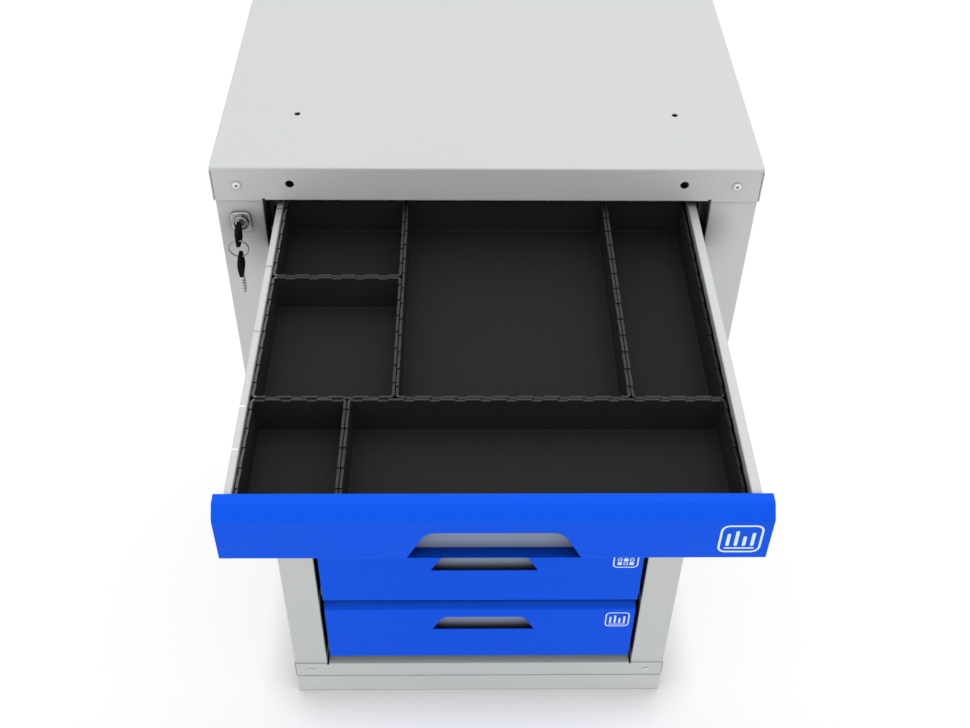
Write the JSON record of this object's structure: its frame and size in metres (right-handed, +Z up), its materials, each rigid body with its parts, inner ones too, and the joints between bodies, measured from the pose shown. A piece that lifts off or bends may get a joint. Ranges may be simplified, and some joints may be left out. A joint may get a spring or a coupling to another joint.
{
  "type": "workshop drawer cabinet",
  "caption": "Floor-standing sheet-steel tool cabinet with telescopic drawers, folded pull edges, divider bins and a central lock.",
  "frame": {"origin": "middle of the footprint, on the floor", "axes": "+Z up, -Y out of the drawer fronts, +X to the right seen from the front"},
  "size_m": [0.5, 0.8141, 0.871],
  "materials": {
    "body_paint": "satin light grey powder coat with a fine orange peel",
    "front_paint": "satin blue powder coat",
    "drawer_paint": "satin light grey powder coat",
    "rivet_aluminium": "painted over with the body",
    "zinc_rail": "bright zinc plate",
    "zinc_steel": "zinc plate",
    "bin_plastic": "fine moulded texture",
    "lock_nickel": "satin nickel",
    "key_steel": "nickel-plated steel",
    "key_plastic": "smooth black plastic"
  },
  "bodies": {
    "cabinet": {"top_cover": "body_paint", "base_tray": "body_paint", "plinth": "body_paint", "side_panel_left": "body_paint", "side_panel_right": "body_paint", "back_panel": "body_paint", "cover_rivets": "rivet_aluminium", "tray_rivets": "rivet_aluminium", "rail_uprights_left": "body_paint", "rail_uprights_right": "body_paint", "cabinet_rails_left": "zinc_rail", "cabinet_rails_right": "zinc_rail", "lock_housing": "lock_nickel", "lock_nut": "zinc_steel", "lock_bar_guides": "zinc_steel"},
    "drawer_1": {"drawer_1_front": "front_paint", "drawer_1_box": "drawer_paint", "drawer_1_rails": "zinc_rail", "bin_front_left": "bin_plastic", "bin_front_right": "bin_plastic", "bin_middle_left": "bin_plastic", "bin_rear_left": "bin_plastic", "bin_rear_centre": "bin_plastic", "bin_rear_right": "bin_plastic"},
    "mid_rails_1": {"drawer_1_mid_rails": "zinc_rail"},
    "drawer_2": {"drawer_2_front": "front_paint", "drawer_2_box": "drawer_paint", "drawer_2_rails": "zinc_rail"},
    "mid_rails_2": {"drawer_2_mid_rails": "zinc_rail"},
    "drawer_3": {"drawer_3_front": "front_paint", "drawer_3_box": "drawer_paint", "drawer_3_rails": "zinc_rail"},
    "mid_rails_3": {"drawer_3_mid_rails": "zinc_rail"},
    "drawer_4": {"drawer_4_front": "front_paint", "drawer_4_box": "drawer_paint", "drawer_4_rails": "zinc_rail"},
    "mid_rails_4": {"drawer_4_mid_rails": "zinc_rail"},
    "drawer_5": {"drawer_5_front": "front_paint", "drawer_5_box": "drawer_paint", "drawer_5_rails": "zinc_rail"},
    "mid_rails_5": {"drawer_5_mid_rails": "zinc_rail"},
    "drawer_6": {"drawer_6_front": "front_paint", "drawer_6_box": "drawer_paint", "drawer_6_rails": "zinc_rail"},
    "mid_rails_6": {"drawer_6_mid_rails": "zinc_rail"},
    "drawer_7": {"drawer_7_front": "front_paint", "drawer_7_box": "drawer_paint", "drawer_7_rails": "zinc_rail"},
    "mid_rails_7": {"drawer_7_mid_rails": "zinc_rail"},
    "lock_plug": {"lock_plug": "lock_nickel", "lock_cam": "zinc_steel"},
    "key": {"key_head": "key_plastic", "key_blade": "key_steel"},
    "key_ring": {"key_ring": "key_steel"},
    "spare_key": {"spare_key_head": "key_plastic", "spare_key_blade": "key_steel"},
    "lock_bar": {"lock_bar": "zinc_steel"}
  },
  "joints": [
    {"name": "drawer_1_slide", "type": "slide", "parent": "cabinet", "child": "drawer_1", "axis": [0, -1, 0], "range_m": [-0.3637, 0.0123]},
    {"name": "mid_rails_1_slide", "type": "slide", "parent": "cabinet", "child": "mid_rails_1", "axis": [0, -1, 0], "range_m": [-0.18185, 0.00615]},
    {"name": "drawer_2_slide", "type": "slide", "parent": "cabinet", "child": "drawer_2", "axis": [0, -1, 0], "range_m": [0, 0.376]},
    {"name": "mid_rails_2_slide", "type": "slide", "parent": "cabinet", "child": "mid_rails_2", "axis": [0, -1, 0], "range_m": [0, 0.188]},
    {"name": "drawer_3_slide", "type": "slide", "parent": "cabinet", "child": "drawer_3", "axis": [0, -1, 0], "range_m": [0, 0.376]},
    {"name": "mid_rails_3_slide", "type": "slide", "parent": "cabinet", "child": "mid_rails_3", "axis": [0, -1, 0], "range_m": [0, 0.188]},
    {"name": "drawer_4_slide", "type": "slide", "parent": "cabinet", "child": "drawer_4", "axis": [0, -1, 0], "range_m": [0, 0.376]},
    {"name": "mid_rails_4_slide", "type": "slide", "parent": "cabinet", "child": "mid_rails_4", "axis": [0, -1, 0], "range_m": [0, 0.188]},
    {"name": "drawer_5_slide", "type": "slide", "parent": "cabinet", "child": "drawer_5", "axis": [0, -1, 0], "range_m": [0, 0.376]},
    {"name": "mid_rails_5_slide", "type": "slide", "parent": "cabinet", "child": "mid_rails_5", "axis": [0, -1, 0], "range_m": [0, 0.188]},
    {"name": "drawer_6_slide", "type": "slide", "parent": "cabinet", "child": "drawer_6", "axis": [0, -1, 0], "range_m": [0, 0.376]},
    {"name": "mid_rails_6_slide", "type": "slide", "parent": "cabinet", "child": "mid_rails_6", "axis": [0, -1, 0], "range_m": [0, 0.188]},
    {"name": "drawer_7_slide", "type": "slide", "parent": "cabinet", "child": "drawer_7", "axis": [0, -1, 0], "range_m": [0, 0.376]},
    {"name": "mid_rails_7_slide", "type": "slide", "parent": "cabinet", "child": "mid_rails_7", "axis": [0, -1, 0], "range_m": [0, 0.188]},
    {"name": "lock_turn", "type": "hinge", "parent": "cabinet", "child": "lock_plug", "pos_m": [-0.2275, -0.225, 0.8115], "axis": [0, 1, 0], "range_deg": [0, 90]},
    {"name": "lock_bar_drop", "type": "slide", "parent": "cabinet", "child": "lock_bar", "axis": [0, 0, 1], "range_m": [-0.008, 0]},
    {"name": "key_pull", "type": "slide", "parent": "lock_plug", "child": "key", "axis": [0, -1, 0], "range_m": [0, 0.018]},
    {"name": "key_ring_swing", "type": "hinge", "parent": "key", "child": "key_ring", "pos_m": [-0.2275, -0.2529, 0.8115], "axis": [1, 0, 0], "range_deg": [-90, 22]},
    {"name": "spare_key_slip", "type": "hinge", "parent": "key_ring", "child": "spare_key", "pos_m": [-0.2275, -0.2529, 0.8013], "axis": [0, 1, 0], "range_deg": [-90.5, 0]}
  ],
  "couplings": [
    {"joint": "mid_rails_1_slide", "follows": "drawer_1_slide", "ratio": 0.5},
    {"joint": "mid_rails_2_slide", "follows": "drawer_2_slide", "ratio": 0.5},
    {"joint": "mid_rails_3_slide", "follows": "drawer_3_slide", "ratio": 0.5},
    {"joint": "mid_rails_4_slide", "follows": "drawer_4_slide", "ratio": 0.5},
    {"joint": "mid_rails_5_slide", "follows": "drawer_5_slide", "ratio": 0.5},
    {"joint": "mid_rails_6_slide", "follows": "drawer_6_slide", "ratio": 0.5},
    {"joint": "mid_rails_7_slide", "follows": "drawer_7_slide", "ratio": 0.5},
    {"joint": "lock_turn", "follows": "lock_bar_drop", "rad_per_m": -196.35},
    {"joint": "spare_key_slip", "follows": "lock_bar_drop", "rad_per_m": 196.35}
  ]
}
